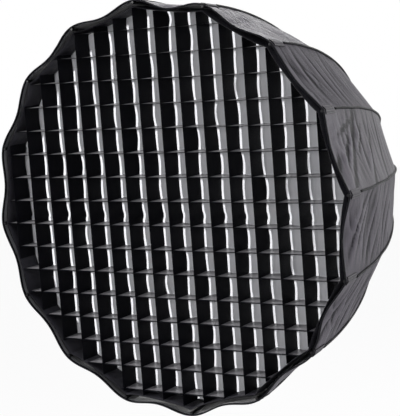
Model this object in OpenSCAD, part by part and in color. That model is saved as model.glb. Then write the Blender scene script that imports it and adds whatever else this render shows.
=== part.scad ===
// Deep sixteen-rib parabolic softbox with a recessed diffuser and an egg-crate grid.
// Millimetres. The optical axis lies along Y, the mouth faces -Y and +Z is up.
// The origin is the centre of the seat on the bayonet ring at the back.

/* [Shell] */
// Radius of the mouth at the rib tips
rim_r = 450; // [380:5:520]
// Angle at which a rib leaves the hub, from the optical axis
rib_out = 40; // [36:0.5:44]
// Angle of a rib at the rim, from the optical axis
rib_end = 4.5; // [2:0.5:8]
// How far the cloth dips between two rib tips
scallop = 7; // [0:0.5:12]
// Thickness of the shell cloth with its lining
cloth_t = 1.2; // [0.8:0.1:2]

/* [Ribs] */
// Radius of a rib rod
rod_r = 3; // [2:0.25:3.5]
// Radius of the ferrule and of the moulded tip at the ends of a rod
tip_r = 3.6; // [3.5:0.1:4.2]
// Length of the moulded tip
tip_len = 6; // [4:0.5:6.5]
// Length of the straight run of a rod in its socket
socket_len = 50; // [40:1:60]
// Outer radius of a knuckle's socket
socket_r = 6; // [5:0.25:7]

/* [Hub] */
// Radius of the circle of rib hinges
hinge_r = 92; // [88:1:100]
// Distance of the rib hinges in front of the seat
hinge_z = 18; // [17:0.5:24]
// Radius of a hinge pin
pin_r = 2.5; // [2:0.25:3]
// Thickness of a knuckle between its two ears
knuckle_w = 10; // [8:0.5:12]
// Thickness of one ear
ear_t = 4; // [3:0.5:5]
// Number of screws that hold the bayonet ring
screws = 8; // [4:1:12]

/* [Bayonet ring] */
// Radius of the opening for the lamp
bore_r = 49; // [44:1:52]
// Outer radius of the bayonet collar
collar_r = 56; // [54:1:58]
// Outer radius of the three lugs
lug_r = 62; // [60:0.5:62.5]
// Outer radius of the ring
ring_r = 76; // [74:1:80]
// Reach of the collar behind the seat
collar_len = 9; // [8:0.5:12]

/* [Front cloths] */
// Distance of the diffuser behind the rim
recess = 58; // [50:1:70]
// Radius of the diffuser at its corners
diffuser_r = 433; // [420:1:434]
// Radius of the grid at its corners
grid_r = 435; // [425:1:436]
// Depth of the grid from front to back
grid_depth = 52; // [30:1:54]
// Distance between neighbouring strips of the grid
pitch = 52.8; // [40:0.1:70]
// Thickness of one strip
strip_t = 1; // [0.6:0.1:1.5]
// Turn of the grid against the ribs
grid_turn = -4.4; // [-10:0.1:10]
// Shift of the upright strips to the right of the middle
grid_right = -10; // [-15:0.1:15]
// Shift of the level strips above the middle
grid_up = -8.2; // [-15:0.1:15]

/* [Hidden] */
$fn = 64;
RIBS = 16;
STEP = 360 / RIBS;
TWO = 2;
EPS = 0.01;
RUN = 0.06;
SLIP = 0.02;
SIDE_GAP = 0.2;
SEAM_LAP = 4;
SEAM_GAP = 0.6;
ROD_SINK = 0.3;
ROD_STOP = 7;
ROD_GRIP = 0.1;
EYE_R = 7;
EAR_R = 8;
ROD_START = 12;
PIN_HEAD = [4, 1.2];
PLATE_Z = [7, 10];
PLATE_R = 104;
BODY_R = [60, 84.5];
BODY_Z = 28;
BODY_CHAMFER = 4;
SCREW_PCR = 71;
SCREW = [2, 3.5, 4, 2];
RING_T = 7;
SEAT_IN = 63;
SEAT_STEP = 1.5;
LUG_T = 3;
LUG_ARC = 34;
LUGS = 3;
SKIRT_OPEN = [134, 54];
BAND_T = 1.5;
BAND_LEN = 18;
GRID_GAP = 4;
SLOT_GAP = 0.2;
END_TAB = 0.3;
STRIPS = 16;
STRIP_SEW = 0.4;
ALONG = 14;
ACROSS = 4;

// The rib's arc: where it starts, its radius and where it ends
arc_from = [hinge_r + socket_len * sin(rib_out), hinge_z + socket_len * cos(rib_out)];
cloth_off = rod_r - ROD_SINK;
rod_end_r = rim_r - (cloth_off + cloth_t) * cos(rib_end);
arc_r = (rod_end_r - arc_from[0]) / (cos(rib_end) - cos(rib_out));
arc_mid = [arc_from[0] - arc_r * cos(rib_out), arc_from[1] + arc_r * sin(rib_out)];
rod_end_z = arc_mid[1] - arc_r * sin(rib_end);
rim_z = rod_end_z + ROD_STOP;
diffuser_z = rim_z - recess;
grid_z = diffuser_z + cloth_t + GRID_GAP;

// Point of the rib's arc at angle f from the axis, moved outwards by d
function rib_at(f, d) = arc_mid + (arc_r + d) * [cos(f), -sin(f)];

// Stations along a gore: the arc, then the run past the rod's end to the rim
function station(i, d) = i <= ALONG
    ? rib_at(rib_out - (rib_out - rib_end) * i / ALONG, d)
    : rib_at(rib_end, d) + ROD_STOP * [sin(rib_end), cos(rib_end)];

// Dip of the cloth between the ribs, which grows towards the rim
function dip(r) = scallop * (r - arc_from[0]) / (rim_r - arc_from[0]);

// One point of gore k: p is the radius and height at the rib, j counts across
function gore_at(k, p, j) =
    let (a = k * STEP, m = a + STEP / TWO, wide = TWO * p[0] * sin(STEP / TWO))
    let (t = -SEAM_LAP + (wide - SEAM_GAP) * j / ACROSS)
    let (s = min(max(t / wide, 0), 1), in = dip(p[0]) * 4 * s * (1 - s))
    [p[0] * cos(a) - t * sin(m) - in * cos(m), p[0] * sin(a) + t * cos(m) - in * sin(m), p[1]];

// Faces of a closed sheet with rows and columns of points on two sides
function sheet_faces(rows, cols) =
    let (w = cols + 1, n = (rows + 1) * w)
    let (quads = concat(
        [for (i = [0 : rows - 1], j = [0 : cols - 1])
            [i * w + j, i * w + w + j, i * w + w + j + 1, i * w + j + 1]],
        [for (i = [0 : rows - 1], j = [0 : cols - 1])
            [n + i * w + j, n + i * w + j + 1, n + i * w + w + j + 1, n + i * w + w + j]],
        [for (i = [0 : rows - 1])
            [i * w, n + i * w, n + i * w + w, i * w + w]],
        [for (i = [0 : rows - 1])
            [i * w + cols, i * w + w + cols, n + i * w + w + cols, n + i * w + cols]],
        [for (j = [0 : cols - 1])
            [j, j + 1, n + j + 1, n + j]],
        [for (j = [0 : cols - 1])
            [rows * w + j, n + rows * w + j, n + rows * w + j + 1, rows * w + j + 1]]))
    [for (q = quads) each [[q[0], q[1], q[2]], [q[0], q[2], q[3]]]];

// Corners of the sixteen-sided outline, with a corner at each rib
function outline(r) = [for (k = [0 : RIBS - 1]) r * [cos(k * STEP), sin(k * STEP)]];

// Reach of the grid's border along a line at distance u from the middle
function reach(u, flat, turn) =
    min([for (k = [0 : RIBS - 1])
        let (a = (k + 0.5) * STEP + turn)
        if (sin(a) > EPS) (flat - cos(a) * u) / sin(a)]);

// Place of strip i of a set that is shifted off the middle
function strip_at(i, shift) = (i - (STRIPS - 1) / TWO) * pitch + shift;

// Half the width of a slot
slot_half = (strip_t + SLOT_GAP) / TWO;

// End of a strip on one side, stopped short of a crossing that has no room there for a slot
function strip_end(end, side, other) =
    let (near = [for (i = [0 : STRIPS - 1])
        let (c = strip_at(i, other), past = side * (end - c))
        if (past > -slot_half && past < slot_half + END_TAB) c])
    len(near) > 0 ? near[0] - side * (slot_half + END_TAB) : end;

// Side view of one slotted strip: low and high ends, slots where the other set crosses
function comb(low, high, other) = concat(
    [[low, 0]],
    [for (i = [0 : STRIPS - 1])
        let (c = strip_at(i, other), h = slot_half)
        if (c - h > low && c + h < high)
            each [[c - h, 0], [c - h, grid_depth / TWO], [c + h, grid_depth / TWO], [c + h, 0]]],
    [[high, 0], [high, grid_depth], [low, grid_depth]]);

// Turns the build axis Z into the forward axis -Y
module forward() {
    rotate([90, 0, 0]) children();
}

// Puts a radius and height outline in a rib's plane as a plate
module in_rib_plane(thick) {
    rotate([90, 0, 0]) linear_extrude(thick, center = true) children();
}

// Straight round bar along the socket, between two distances from the hinge
module socket_bar(from, to, r) {
    translate([hinge_r, 0, hinge_z])
        rotate([0, rib_out, 0])
            translate([0, 0, from]) cylinder(h = to - from, r = r);
}

// Bar across a rib's plane, on the hinge axis
module hinge_bar(len, r) {
    translate([hinge_r, 0, hinge_z])
        rotate([90, 0, 0]) cylinder(h = len, r = r, center = true);
}

// Spring rod with a straight ferrule in its socket, a bent run and a moulded tip
module rod(k) {
    color("dimgray") forward() rotate([0, 0, k * STEP]) {
        socket_bar(ROD_START, socket_len, tip_r);
        translate([arc_mid[0], 0, arc_mid[1]])
            rotate([90, 0, 0]) rotate([0, 0, -rib_out - ROD_GRIP])
                rotate_extrude(angle = rib_out - rib_end + ROD_GRIP)
                    translate([arc_r, 0]) circle(rod_r);
        translate([rod_end_r, 0, rod_end_z]) rotate([0, rib_end, 0]) rotate_extrude() polygon([
            [0, -TWO], [tip_r, -TWO], [tip_r, tip_len - 1], [tip_r - 1, tip_len], [0, tip_len]]);
    }
}

// Moulded hinge block with an eye for the pin and a socket for the rod
module knuckle(k) {
    color("black") forward() rotate([0, 0, k * STEP]) difference() {
        union() {
            hinge_bar(knuckle_w, EYE_R);
            in_rib_plane(knuckle_w)
                translate([hinge_r, hinge_z]) rotate(90 - rib_out)
                    translate([0, -socket_r + 1]) square([ROD_START, TWO * socket_r - TWO]);
            socket_bar(ROD_START - TWO, socket_len - TWO, socket_r);
            socket_bar(socket_len - EYE_R, socket_len - TWO, socket_r + 1);
        }
        hinge_bar(knuckle_w + TWO, pin_r + RUN);
        socket_bar(ROD_START, socket_len + 1, tip_r + SLIP);
    }
}

// One gore of the shell, sewn over the rib at its first edge
module panel(k) {
    last = ALONG + 1;
    outer = [for (i = [0 : last], j = [0 : ACROSS]) gore_at(k, station(i, cloth_off + cloth_t), j)];
    inner = [for (i = [0 : last], j = [0 : ACROSS]) gore_at(k, station(i, cloth_off), j)];
    color("darkslategray") forward()
        polyhedron(concat(outer, inner), sheet_faces(last, ACROSS));
}

// Two ears that carry one hinge pin
module ears() {
    for (side = [-1, 1])
        translate([0, side * (knuckle_w + ear_t + TWO * SIDE_GAP) / TWO, 0])
            in_rib_plane(ear_t) difference() {
                union() {
                    translate([BODY_R[1] - TWO, hinge_z - EAR_R])
                        square([hinge_r - BODY_R[1] + TWO, TWO * EAR_R]);
                    translate([hinge_r, hinge_z]) circle(EAR_R);
                }
                translate([hinge_r, hinge_z]) circle(pin_r + SLIP);
            }
}

// Turned hub with a back plate and a pair of ears for each rib
module hub_ring() {
    color("gray") forward() difference() {
        union() {
            rotate_extrude() polygon([
                [BODY_R[0], PLATE_Z[0]], [PLATE_R, PLATE_Z[0]], [PLATE_R, PLATE_Z[1]],
                [BODY_R[1], PLATE_Z[1]], [BODY_R[1], BODY_Z - BODY_CHAMFER],
                [BODY_R[1] - BODY_CHAMFER, BODY_Z], [BODY_R[0] + BODY_CHAMFER, BODY_Z],
                [BODY_R[0], BODY_Z - BODY_CHAMFER]]);
            for (k = [0 : RIBS - 1]) rotate([0, 0, k * STEP]) ears();
        }
        for (s = [0 : screws - 1]) rotate([0, 0, (s + 0.5) * 360 / screws])
            translate([SCREW_PCR, 0, 0]) cylinder(h = BODY_Z + 1, r = SCREW[0] + SLIP);
    }
}

// Hinge pins with a head at each end
module hinge_pins() {
    grip = knuckle_w + TWO * (ear_t + SIDE_GAP);
    color("silver") forward() for (k = [0 : RIBS - 1]) rotate([0, 0, k * STEP]) {
        hinge_bar(grip + PIN_HEAD[1], pin_r);
        for (side = [-1, 1])
            translate([0, side * (grip + PIN_HEAD[1]) / TWO, 0]) hinge_bar(PIN_HEAD[1], PIN_HEAD[0]);
    }
}

// Screws from the front of the hub into the bayonet ring
module ring_screws() {
    color("silver") forward() for (s = [0 : screws - 1])
        rotate([0, 0, (s + 0.5) * 360 / screws]) translate([SCREW_PCR, 0, 0]) difference() {
            union() {
                translate([0, 0, SCREW[3]]) cylinder(h = BODY_Z - SCREW[3] + 1, r = SCREW[0]);
                translate([0, 0, BODY_Z]) cylinder(h = SCREW[2], r = SCREW[1]);
            }
            translate([0, 0, BODY_Z + SCREW[2] / TWO]) cylinder(h = SCREW[2], r = SCREW[0] - EPS, $fn = 6);
        }
}

// Bayonet ring: seat, collar and three lugs round the opening for the lamp
module mount_ring() {
    color("lightgray") forward() difference() {
        union() {
            rotate_extrude() polygon([
                [bore_r, -collar_len], [collar_r, -collar_len], [collar_r, SEAT_STEP],
                [SEAT_IN, SEAT_STEP], [SEAT_IN, 0], [ring_r, 0], [ring_r, RING_T], [bore_r, RING_T]]);
            for (l = [0 : LUGS - 1]) rotate([0, 0, 90 - LUG_ARC / TWO + l * 360 / LUGS])
                translate([0, 0, -collar_len]) rotate_extrude(angle = LUG_ARC)
                    translate([collar_r - 1, 0]) square([lug_r - collar_r + 1, LUG_T]);
        }
        for (s = [0 : screws - 1]) rotate([0, 0, (s + 0.5) * 360 / screws])
            translate([SCREW_PCR, 0, SCREW[3]]) cylinder(h = RING_T, r = SCREW[0] + SLIP);
    }
}

// Cloth skirt that closes the gap between the hub plate and the gores
module rear_skirt() {
    color("darkslategray") forward() rotate_extrude() polygon([
        [PLATE_R, PLATE_Z[0]], [PLATE_R + cloth_t, PLATE_Z[0]],
        [PLATE_R + cloth_t, PLATE_Z[1] + 1], SKIRT_OPEN + [cloth_t, 0],
        SKIRT_OPEN, [PLATE_R, PLATE_Z[1] + TWO]]);
}

// White cloth across the mouth
module front_diffuser() {
    color("white") forward() translate([0, 0, diffuser_z])
        linear_extrude(cloth_t) polygon(outline(diffuser_r));
}

// Hook band sewn round the edge of the diffuser, behind the cloth
module diffuser_band() {
    color("black") forward() translate([0, 0, diffuser_z - BAND_LEN]) linear_extrude(BAND_LEN) difference() {
        polygon(outline(diffuser_r));
        polygon(outline(diffuser_r - BAND_T));
    }
}

// Sixteen-sided border of the grid
module grid_border() {
    color("black") forward() translate([0, 0, grid_z]) linear_extrude(grid_depth) difference() {
        polygon(outline(grid_r));
        polygon(outline(grid_r - BAND_T));
    }
}

// One set of slotted strips, each as long as the border allows
module strips(turn, shift, other) {
    flat = (grid_r - BAND_T) * cos(STEP / TWO) + STRIP_SEW;
    for (i = [0 : STRIPS - 1]) {
        u = strip_at(i, shift);
        high = min(reach(u - strip_t, flat, -turn), reach(u + strip_t, flat, -turn));
        low = min(reach(-u - strip_t, flat, -turn), reach(-u + strip_t, flat, -turn));
        translate([u, 0, 0]) rotate([90, 0, 90])
            linear_extrude(strip_t, center = true) polygon(
                comb(strip_end(-low, -1, other), strip_end(high, 1, other), other));
    }
}

// Upright strips, slotted from the back
module grid_upright_strips() {
    color("black") forward() translate([0, 0, grid_z]) rotate([0, 0, grid_turn])
        strips(grid_turn, grid_right, grid_up);
}

// Level strips, slotted from the front
module grid_level_strips() {
    color("black") forward() translate([0, 0, grid_z + grid_depth]) rotate([0, 0, grid_turn + 90])
        rotate([0, 180, 0]) strips(-grid_turn - 90, -grid_up, -grid_right);
}

mount_ring();
hub_ring();
ring_screws();
hinge_pins();
rear_skirt();
front_diffuser();
diffuser_band();
grid_border();
grid_upright_strips();
grid_level_strips();
knuckle(0);  // knuckle_00
knuckle(1);  // knuckle_01
knuckle(2);  // knuckle_02
knuckle(3);  // knuckle_03
knuckle(4);  // knuckle_04
knuckle(5);  // knuckle_05
knuckle(6);  // knuckle_06
knuckle(7);  // knuckle_07
knuckle(8);  // knuckle_08
knuckle(9);  // knuckle_09
knuckle(10);  // knuckle_10
knuckle(11);  // knuckle_11
knuckle(12);  // knuckle_12
knuckle(13);  // knuckle_13
knuckle(14);  // knuckle_14
knuckle(15);  // knuckle_15
rod(0);  // rod_00
rod(1);  // rod_01
rod(2);  // rod_02
rod(3);  // rod_03
rod(4);  // rod_04
rod(5);  // rod_05
rod(6);  // rod_06
rod(7);  // rod_07
rod(8);  // rod_08
rod(9);  // rod_09
rod(10);  // rod_10
rod(11);  // rod_11
rod(12);  // rod_12
rod(13);  // rod_13
rod(14);  // rod_14
rod(15);  // rod_15
panel(0);  // panel_00
panel(1);  // panel_01
panel(2);  // panel_02
panel(3);  // panel_03
panel(4);  // panel_04
panel(5);  // panel_05
panel(6);  // panel_06
panel(7);  // panel_07
panel(8);  // panel_08
panel(9);  // panel_09
panel(10);  // panel_10
panel(11);  // panel_11
panel(12);  // panel_12
panel(13);  // panel_13
panel(14);  // panel_14
panel(15);  // panel_15
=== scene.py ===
import math

import bpy
import numpy as np
from mathutils import Matrix, Vector


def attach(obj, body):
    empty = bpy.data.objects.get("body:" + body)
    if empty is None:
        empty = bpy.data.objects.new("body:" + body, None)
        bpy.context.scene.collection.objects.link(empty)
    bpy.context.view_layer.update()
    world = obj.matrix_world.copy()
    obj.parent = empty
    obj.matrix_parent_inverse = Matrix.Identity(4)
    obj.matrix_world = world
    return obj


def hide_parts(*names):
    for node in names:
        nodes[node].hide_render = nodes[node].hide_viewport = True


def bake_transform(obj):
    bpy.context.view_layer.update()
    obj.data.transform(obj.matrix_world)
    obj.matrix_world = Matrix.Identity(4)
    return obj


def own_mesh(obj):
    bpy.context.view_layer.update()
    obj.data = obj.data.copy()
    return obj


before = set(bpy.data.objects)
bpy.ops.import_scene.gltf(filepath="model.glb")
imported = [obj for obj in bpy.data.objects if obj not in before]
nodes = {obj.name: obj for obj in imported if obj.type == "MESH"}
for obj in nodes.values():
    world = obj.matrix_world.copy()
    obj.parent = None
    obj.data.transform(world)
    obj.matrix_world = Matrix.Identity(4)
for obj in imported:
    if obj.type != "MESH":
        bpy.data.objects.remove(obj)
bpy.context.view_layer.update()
scene = bpy.context.scene

# Sizes of the solids, in metres, as the part's source has them
RIBS = 16
STEP = 2 * math.pi / RIBS
HALF = STEP / 2
RIM_R = 0.450
RIB_OUT, RIB_END = math.radians(40), math.radians(4.5)
HINGE_R, HINGE_Z = 0.092, 0.018
SOCKET = 0.050
CLOTH_OFF, CLOTH_T = 0.0027, 0.0012
CLOTH_OUT = CLOTH_OFF + CLOTH_T
ROD_STOP = 0.007
SCALLOP = 0.007
RECESS = 0.058
DIFFUSER_R, GRID_R = 0.433, 0.435
GRID_GAP, GRID_DEPTH = 0.004, 0.052
PITCH, STRIPS = 0.0528, 16
GRID_TURN, GRID_SHIFT = math.radians(-4.4), (-0.0100, -0.0082)
BAND_LEN = 0.018
PLATE_R = 0.104
# How far a rib folds, as the record has it
FOLD = math.radians(24)

ARC_FROM = np.array([HINGE_R + SOCKET * math.sin(RIB_OUT), HINGE_Z + SOCKET * math.cos(RIB_OUT)])
ROD_END_R = RIM_R - CLOTH_OUT * math.cos(RIB_END)
ARC_R = (ROD_END_R - ARC_FROM[0]) / (math.cos(RIB_END) - math.cos(RIB_OUT))
ARC_MID = ARC_FROM + ARC_R * np.array([-math.cos(RIB_OUT), math.sin(RIB_OUT)])
ARC_LEN = ARC_R * (RIB_OUT - RIB_END)
RIM_Z = ARC_MID[1] - ARC_R * math.sin(RIB_END) + ROD_STOP
DIFFUSER_Z = RIM_Z - RECESS
GRID_Z = DIFFUSER_Z + CLOTH_T + GRID_GAP
SPAN = ARC_LEN + ROD_STOP


def to_row(x, y, z):
    """Build axes, with z forward, to the row's axes."""
    return np.stack([x, -z, y], -1)


def rib_profile(s, off):
    """Radius, height and lean of the rib at arc length s, moved outwards by off."""
    s = np.asarray(s, float)
    lean = RIB_OUT - np.minimum(s, ARC_LEN) / ARC_R
    past = np.maximum(s - ARC_LEN, 0)
    r = ARC_MID[0] + (ARC_R + off) * np.cos(lean) + past * math.sin(RIB_END)
    z = ARC_MID[1] - (ARC_R + off) * np.sin(lean) + past * math.cos(RIB_END)
    return r, z, lean


# Materials

# Tints painted on the shell's cloth, and where they lie on its painted light and shade, from the painted shade in
# crease valleys to the painted highlight on ridges and near the rim
CREASE_TINT, SHADE_TINT = (0.05, 0.05, 0.06), (0.26, 0.26, 0.27)
PLAIN_TINT, HIGHLIGHT_TINT = (0.66, 0.66, 0.66), (1.1, 1.1, 1.1)
TINT_AT = (0.0, 0.28, 0.5, 1.0)
# Strength of the fine streaks of painted shade and highlight along the small bumped creases, and how far they are
# drawn out across the gores
STREAK, RIDGE_RUN = 1.1, 0.09
# Weave, in radians for each metre: threads 1.1 mm apart
THREAD = 2 * math.pi / 0.0011
# Where in the noise the dark and the light colour are reached
DARK_AT, LIGHT_AT = 0.3, 0.7
# Scales of the noise in cloth, and of the finer noise in hard materials against their own scale
CREASE_SCALE, MOTTLE_SCALE, GLOSS_SCALE = 55.0, 9.0, 160.0
GLOSS_FINER, GRAIN_FINER = 6, 25
# Roughness below and above the stated one
CLOTH_GLOSS, HARD_GLOSS = (-0.06, 0.08), (-0.08, 0.1)
CREASE_BUMP, FINE_BUMP = 0.002, 0.0004
SHEEN_ROUGH = 0.45
# Shade of a rod's moulded tip against its spring
TIP_SHADE = 0.05


def new_material(name):
    m = bpy.data.materials.new(name)
    m.use_nodes = True
    n = m.node_tree.nodes
    return m, n, m.node_tree.links, n["Principled BSDF"]


def noise(n, links, coord, scale, detail=4.0, rough=0.55):
    t = n.new("ShaderNodeTexNoise")
    t.inputs["Scale"].default_value = scale
    t.inputs["Detail"].default_value = detail
    t.inputs["Roughness"].default_value = rough
    links.new(coord, t.inputs["Vector"])
    return t.outputs["Fac"]


def ramp(n, links, fac, stops):
    r = n.new("ShaderNodeValToRGB")
    while len(r.color_ramp.elements) < len(stops):
        r.color_ramp.elements.new(0.5)
    for e, (at, colour) in zip(r.color_ramp.elements, stops):
        e.position = at
        e.color = (*colour, 1)
    links.new(fac, r.inputs["Fac"])
    return r.outputs["Color"]


def math_node(n, links, op, a, b=None):
    m = n.new("ShaderNodeMath")
    m.operation = op
    for i, v in enumerate((a, b)):
        if v is None:
            continue
        if isinstance(v, (int, float)):
            m.inputs[i].default_value = v
        else:
            links.new(v, m.inputs[i])
    return m.outputs[0]


def bump(n, links, height, strength, distance, base=None):
    b = n.new("ShaderNodeBump")
    b.inputs["Strength"].default_value = strength
    b.inputs["Distance"].default_value = distance
    links.new(height, b.inputs["Height"])
    if base is not None:
        links.new(base, b.inputs["Normal"])
    return b.outputs["Normal"]


def uneven_gloss(n, links, p, fac, rough, spread):
    """Roughness that wanders below and above the stated one."""
    m = n.new("ShaderNodeMapRange")
    m.inputs["To Min"].default_value = rough + spread[0]
    m.inputs["To Max"].default_value = rough + spread[1]
    links.new(fac, m.inputs["Value"])
    links.new(m.outputs[0], p.inputs["Roughness"])


def weave_height(n, links, coord, per_metre):
    """Plain weave: two crossed sine ridges."""
    sep = n.new("ShaderNodeSeparateXYZ")
    links.new(coord, sep.inputs[0])
    a = math_node(n, links, "SINE", math_node(n, links, "MULTIPLY", sep.outputs["X"], per_metre))
    b = math_node(n, links, "SINE", math_node(n, links, "MULTIPLY", sep.outputs["Y"], per_metre))
    return math_node(n, links, "MULTIPLY", a, b)


def ridge_place(n, links, obj, uv):
    """Coordinates for creases that run across a gore: drawn out over the rim's plane, fine along the rib."""
    parts, threads = n.new("ShaderNodeSeparateXYZ"), n.new("ShaderNodeSeparateXYZ")
    joined = n.new("ShaderNodeCombineXYZ")
    links.new(obj, parts.inputs[0])
    links.new(uv, threads.inputs[0])
    for i, source, scale in (("X", parts.outputs["X"], RIDGE_RUN), ("Y", parts.outputs["Z"], RIDGE_RUN),
                             ("Z", threads.outputs["Y"], 1.0)):
        links.new(math_node(n, links, "MULTIPLY", source, scale), joined.inputs[i])
    return joined.outputs[0]


def painted_crease_shade(n, links, shade, streaks):
    """A colour with painted shade in the creases and a painted highlight on the ridges and towards the rim."""
    painted_light = n.new("ShaderNodeAttribute")
    painted_light.attribute_name = "painted_light_and_shade"
    streak = math_node(n, links, "MULTIPLY", math_node(n, links, "SUBTRACT", streaks, 0.5), STREAK)
    shade_level = math_node(n, links, "ADD", painted_light.outputs["Fac"], streak)
    tint = ramp(n, links, shade_level, list(zip(TINT_AT, (CREASE_TINT, SHADE_TINT, PLAIN_TINT, HIGHLIGHT_TINT))))
    both = n.new("ShaderNodeVectorMath")
    both.operation = "MULTIPLY"
    links.new(shade, both.inputs[0])
    links.new(tint, both.inputs[1])
    return both.outputs[0]


def cloth_material(name, dark, light, rough, crease, sheen=0.0, weave=THREAD, weave_bump=0.25, specular=0.5,
                   ridges=None):
    """Woven cloth: mottled colour, uneven gloss, small creases and a fine weave on its own thread coordinates. With
    ridges, the scale of its creases, they run across the gores and the colour carries painted shade in the creases
    and a painted highlight on the ridges."""
    m, n, links, p = new_material(name)
    obj = n.new("ShaderNodeTexCoord").outputs["Object"]
    uv_map = n.new("ShaderNodeUVMap")
    uv_map.uv_map = "thread"
    uv = uv_map.outputs["UV"]
    place = ridge_place(n, links, obj, uv) if ridges else obj
    small = noise(n, links, place, ridges or CREASE_SCALE, 6.0, 0.6)
    shade = ramp(n, links, noise(n, links, obj, MOTTLE_SCALE, 5.0), [(DARK_AT, dark), (LIGHT_AT, light)])
    # The base colour gets painted shade in the creases and a painted highlight on the ridges
    if ridges:
        shade = painted_crease_shade(n, links, shade, small)
    links.new(shade, p.inputs["Base Color"])
    uneven_gloss(n, links, p, noise(n, links, obj, GLOSS_SCALE, 3.0), rough, CLOTH_GLOSS)
    creased = bump(n, links, small, crease, CREASE_BUMP)
    woven = weave_height(n, links, uv, weave)
    links.new(bump(n, links, woven, weave_bump, FINE_BUMP, creased), p.inputs["Normal"])
    p.inputs["Sheen Weight"].default_value = sheen
    p.inputs["Sheen Roughness"].default_value = SHEEN_ROUGH
    p.inputs["Specular IOR Level"].default_value = specular
    return m


def plain_material(name, dark, light, rough, scale, grain, metallic=0.0, stretch=(1, 1, 1), specular=0.5, tip=None):
    """Metal or moulded plastic: faint colour change, uneven gloss and a fine grain; tip is the length of a dark
    moulded end at the front of a metal rod."""
    m, n, links, p = new_material(name)
    obj = n.new("ShaderNodeTexCoord").outputs["Object"]
    mp = n.new("ShaderNodeMapping")
    mp.inputs["Scale"].default_value = stretch
    links.new(obj, mp.inputs["Vector"])
    co = mp.outputs["Vector"]
    colour = ramp(n, links, noise(n, links, co, scale), [(DARK_AT, dark), (LIGHT_AT, light)])
    links.new(colour, p.inputs["Base Color"])
    uneven_gloss(n, links, p, noise(n, links, co, scale * GLOSS_FINER, 5.0), rough, HARD_GLOSS)
    links.new(bump(n, links, noise(n, links, co, scale * GRAIN_FINER, 3.0), grain, FINE_BUMP), p.inputs["Normal"])
    p.inputs["Metallic"].default_value = metallic
    p.inputs["Specular IOR Level"].default_value = specular
    if tip:
        front = n.new("ShaderNodeSeparateXYZ")
        links.new(obj, front.inputs[0])
        spring = math_node(n, links, "GREATER_THAN", front.outputs["Y"], -(RIM_Z - tip))
        shaded = n.new("ShaderNodeVectorMath")
        shaded.operation = "SCALE"
        links.new(colour, shaded.inputs[0])
        links.new(ramp(n, links, spring, [(0.0, (TIP_SHADE,) * 3), (1.0, (1.0,) * 3)]), shaded.inputs["Scale"])
        links.new(shaded.outputs[0], p.inputs["Base Color"])
        links.new(math_node(n, links, "MULTIPLY", spring, metallic), p.inputs["Metallic"])
    return m


shell_mat = cloth_material("shell_nylon", (0.112, 0.105, 0.120), (0.165, 0.156, 0.175), rough=0.40, crease=0.8,
                           weave_bump=0.3, specular=0.035, ridges=130.0)
silver_mat = plain_material("silver_lining", (0.62, 0.63, 0.65), (0.74, 0.75, 0.77), rough=0.34, metallic=0.85,
                            scale=60.0, grain=0.3)
loop_mat = cloth_material("loop_tape", (0.010, 0.010, 0.011), (0.020, 0.020, 0.022), rough=0.85, sheen=0.5,
                          weave=THREAD / 2, crease=0.6)
binding_mat = cloth_material("binding_tape", (0.003, 0.003, 0.004), (0.006, 0.006, 0.008), rough=0.40,
                             weave=THREAD / 1.5, crease=0.1, weave_bump=0.5, specular=0.05)
patch_mat = cloth_material("pocket_webbing", (0.064, 0.061, 0.067), (0.086, 0.082, 0.090), rough=0.5,
                           weave=THREAD / 1.6, crease=0.12, weave_bump=0.5, specular=0.10)
stitch_mat = cloth_material("stitch_thread", (0.17, 0.165, 0.175), (0.24, 0.235, 0.245), rough=0.5, sheen=0.2,
                            crease=0.05)
white_mat = cloth_material("diffuser_nylon", (0.86, 0.87, 0.90), (0.90, 0.905, 0.925), rough=0.75, sheen=0.1,
                           crease=0.05, weave_bump=0.15)
hook_mat = cloth_material("hook_tape", (0.012, 0.012, 0.013), (0.024, 0.024, 0.026), rough=0.8, sheen=0.4,
                          weave=THREAD / 2, crease=0.4)
grid_mat = cloth_material("grid_nylon", (0.0020, 0.0020, 0.0036), (0.0036, 0.0036, 0.0058), rough=0.36, crease=0.08,
                          weave_bump=0.2, specular=0.035)
# The level strips' faces: the grid's black nylon painted far paler, as painted light for the light falling on their
# tops
lit_grid_mat = cloth_material("grid_nylon_painted_lit", (0.130, 0.125, 0.137), (0.155, 0.150, 0.162), rough=0.36, sheen=0.10,
                           crease=0.05, weave_bump=0.05, specular=0.35)
# The grid's border: the grid's black nylon painted paler, as painted light for the light falling on its inner face
border_mat = cloth_material("border_nylon", (0.020, 0.0195, 0.025), (0.044, 0.043, 0.050), rough=0.36, crease=0.9,
                            weave_bump=0.2, specular=0.08)
ring_mat = plain_material("ring_aluminium", (0.34, 0.345, 0.36), (0.44, 0.445, 0.46), rough=0.50, metallic=1.0,
                          scale=30.0, grain=0.15, stretch=(1, 6, 1))
hub_mat = plain_material("hub_powder_coat", (0.018, 0.018, 0.019), (0.030, 0.030, 0.032), rough=0.5, scale=40.0,
                         grain=0.35)
steel_mat = plain_material("zinc_steel", (0.42, 0.43, 0.45), (0.56, 0.57, 0.59), rough=0.32, metallic=1.0,
                           scale=90.0, grain=0.1)
rod_mat = plain_material("spring_rod", (0.10, 0.10, 0.11), (0.16, 0.16, 0.17), rough=0.36, metallic=0.9, scale=70.0,
                         grain=0.15, stretch=(1, 0.15, 1), specular=0.1, tip=0.020)
knuckle_mat = plain_material("moulded_nylon", (0.014, 0.014, 0.015), (0.024, 0.024, 0.025), rough=0.52, scale=80.0,
                             grain=0.3)


def paint(name, material):
    o = nodes[name]
    o.data.materials.clear()
    o.data.materials.append(material)


paint("mount_ring", ring_mat)
paint("hub_ring", hub_mat)
paint("ring_screws", steel_mat)
paint("hinge_pins", steel_mat)
for k in range(RIBS):
    paint(f"rod_{k:02d}", rod_mat)
    paint(f"knuckle_{k:02d}", knuckle_mat)

# Meshes

OUTER, INNER, EDGE = 0, 1, 2


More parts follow.
